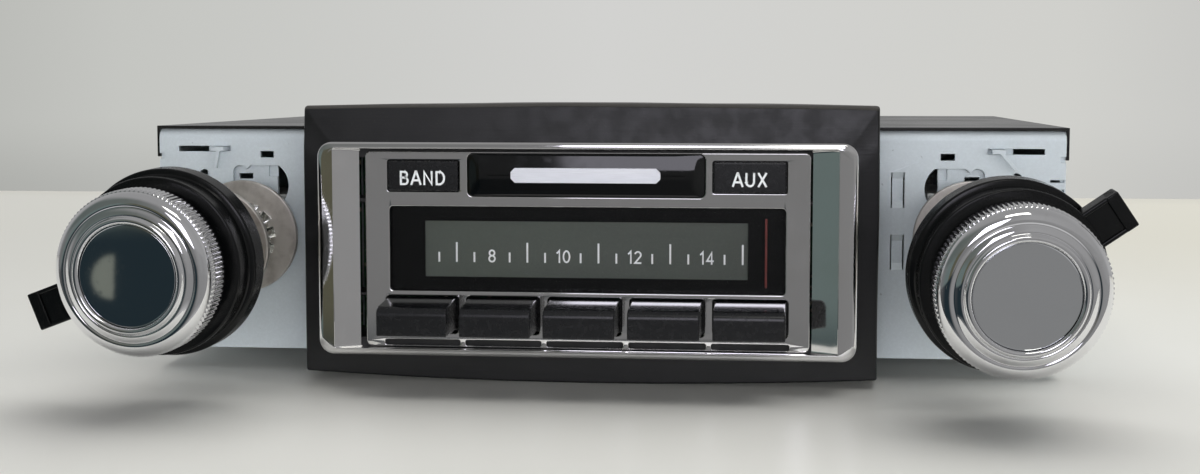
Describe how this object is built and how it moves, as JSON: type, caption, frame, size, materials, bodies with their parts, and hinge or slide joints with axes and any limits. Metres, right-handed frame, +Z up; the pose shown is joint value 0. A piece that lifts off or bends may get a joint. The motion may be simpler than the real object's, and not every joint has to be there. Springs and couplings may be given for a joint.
{
  "type": "car radio",
  "caption": "Shaft-mount car radio with a chrome nosepiece, LCD dial, push buttons, rubber gasket and a twin-shaft control with a finger ring on each side.",
  "frame": {"origin": "centre of the flat bottom face of the chassis", "axes": "+X to the viewer's right across the face, +Y from the face to the back of the chassis, +Z up"},
  "size_m": [0.1941, 0.1967, 0.0535],
  "materials": {
    "zinc_steel": "zinc-plated sheet, satin, blue-white",
    "black_lid": "black paint, satin",
    "sink_aluminium": "extruded, satin",
    "screw_steel": "zinc-plated",
    "black_housing": "moulded, satin",
    "gasket_rubber": "moulded, satin",
    "bezel_chrome": "bright chrome plate",
    "lens_clear": "clear, polished",
    "pointer_red": "red line",
    "lcd_face": "grey-green display behind a black border",
    "light_guide": "milky white",
    "emblem_gloss": "gloss black",
    "emblem_silver": "satin silver",
    "circuit_board": "green solder mask",
    "switch_black": "black",
    "tin_plate": "tinned",
    "chip_black": "epoxy black",
    "capacitor_sleeve": "dark blue sleeve",
    "ribbon_grey": "grey ribbon",
    "socket_plastic": "black moulding",
    "pin_brass": "plated",
    "fuse_amber": "red translucent",
    "nickel_steel": "nickel-plated",
    "washer_steel": "dull nickel-steel",
    "shaft_aluminium": "turned",
    "ring_black": "gloss black",
    "button_charcoal": "satin charcoal, moulded",
    "knob_chrome": "bright chrome, fluted edge",
    "disc_mirror": "polished, slightly dished"
  },
  "bodies": {
    "chassis": {"front_plate": "zinc_steel", "bottom_tray": "zinc_steel", "top_cover": "black_lid", "cover_screws": "screw_steel", "heat_sink": "sink_aluminium", "heat_sink_screws": "screw_steel", "nosepiece": "black_housing", "gasket": "gasket_rubber", "bezel": "bezel_chrome", "dial_lens": "lens_clear", "dial_pointer": "pointer_red", "lcd_module": "lcd_face", "backlight": "light_guide", "emblem_window": "emblem_gloss", "emblem_bar": "emblem_silver", "switch_board": "circuit_board", "tact_switches": "switch_black", "main_board": "circuit_board", "board_standoffs": "nickel_steel", "board_screws": "screw_steel", "tuner_module": "tin_plate", "amplifier_chip": "chip_black", "filter_capacitors": "capacitor_sleeve", "ribbon_cable": "ribbon_grey", "harness_socket": "socket_plastic", "harness_pins": "pin_brass", "blade_fuse": "fuse_amber", "antenna_socket": "nickel_steel", "rear_stud": "screw_steel"},
    "preset_1": {"preset_button_1": "button_charcoal"},
    "preset_2": {"preset_button_2": "button_charcoal"},
    "preset_3": {"preset_button_3": "button_charcoal"},
    "preset_4": {"preset_button_4": "button_charcoal"},
    "preset_5": {"preset_button_5": "button_charcoal"},
    "band": {"band_button": "button_charcoal"},
    "aux": {"aux_button": "button_charcoal"},
    "left_control": {"left_slide_plate": "zinc_steel", "left_control_body": "tin_plate", "left_bushing": "nickel_steel", "left_flat_washers": "washer_steel", "left_star_washer": "nickel_steel", "left_hex_nut": "nickel_steel", "left_spacer": "ring_black"},
    "left_ring": {"left_outer_shaft": "shaft_aluminium", "left_lever_ring": "ring_black"},
    "left_knob": {"left_inner_shaft": "shaft_aluminium", "left_knob": "knob_chrome", "left_knob_disc": "disc_mirror"},
    "right_control": {"right_slide_plate": "zinc_steel", "right_control_body": "tin_plate", "right_bushing": "nickel_steel", "right_flat_washers": "washer_steel", "right_star_washer": "nickel_steel", "right_hex_nut": "nickel_steel", "right_spacer": "ring_black"},
    "right_ring": {"right_outer_shaft": "shaft_aluminium", "right_lever_ring": "ring_black"},
    "right_knob": {"right_inner_shaft": "shaft_aluminium", "right_knob": "knob_chrome", "right_knob_disc": "disc_mirror"}
  },
  "joints": [
    {"name": "left_control_slide", "type": "slide", "parent": "chassis", "child": "left_control", "axis": [-1, 0, 0], "range_m": [0, 0.006]},
    {"name": "right_control_slide", "type": "slide", "parent": "chassis", "child": "right_control", "axis": [1, 0, 0], "range_m": [0, 0.006]},
    {"name": "left_ring_turn", "type": "hinge", "parent": "left_control", "child": "left_ring", "pos_m": [-0.0714, -0.068, 0.02275], "axis": [-0.0836, -0.995, -0.0541], "range_deg": [-250.5, 29.5]},
    {"name": "left_knob_turn", "type": "hinge", "parent": "left_control", "child": "left_knob", "pos_m": [-0.0714, -0.068, 0.02275], "axis": [-0.0836, -0.995, -0.0541], "range_deg": [-150, 150]},
    {"name": "right_ring_turn", "type": "hinge", "parent": "right_control", "child": "right_ring", "pos_m": [0.0714, -0.068, 0.02345], "axis": [0.0833, -0.9916, -0.0993], "range_deg": [-85, 195]},
    {"name": "right_knob_turn", "type": "hinge", "parent": "right_control", "child": "right_knob", "pos_m": [0.0714, -0.068, 0.02345], "axis": [0.0833, -0.9916, -0.0993], "continuous": true},
    {"name": "preset_1_press", "type": "slide", "parent": "chassis", "child": "preset_1", "axis": [0, 1, 0], "range_m": [0, 0.0015], "stiffness_N_per_m": 400, "springref_m": -0.002},
    {"name": "preset_2_press", "type": "slide", "parent": "chassis", "child": "preset_2", "axis": [0, 1, 0], "range_m": [0, 0.0015], "stiffness_N_per_m": 400, "springref_m": -0.002},
    {"name": "preset_3_press", "type": "slide", "parent": "chassis", "child": "preset_3", "axis": [0, 1, 0], "range_m": [0, 0.0015], "stiffness_N_per_m": 400, "springref_m": -0.002},
    {"name": "preset_4_press", "type": "slide", "parent": "chassis", "child": "preset_4", "axis": [0, 1, 0], "range_m": [0, 0.0015], "stiffness_N_per_m": 400, "springref_m": -0.002},
    {"name": "preset_5_press", "type": "slide", "parent": "chassis", "child": "preset_5", "axis": [0, 1, 0], "range_m": [0, 0.0015], "stiffness_N_per_m": 400, "springref_m": -0.002},
    {"name": "band_press", "type": "slide", "parent": "chassis", "child": "band", "axis": [0, 1, 0], "range_m": [0, 0.0008], "stiffness_N_per_m": 400, "springref_m": -0.002},
    {"name": "aux_press", "type": "slide", "parent": "chassis", "child": "aux", "axis": [0, 1, 0], "range_m": [0, 0.0008], "stiffness_N_per_m": 400, "springref_m": -0.002}
  ]
}
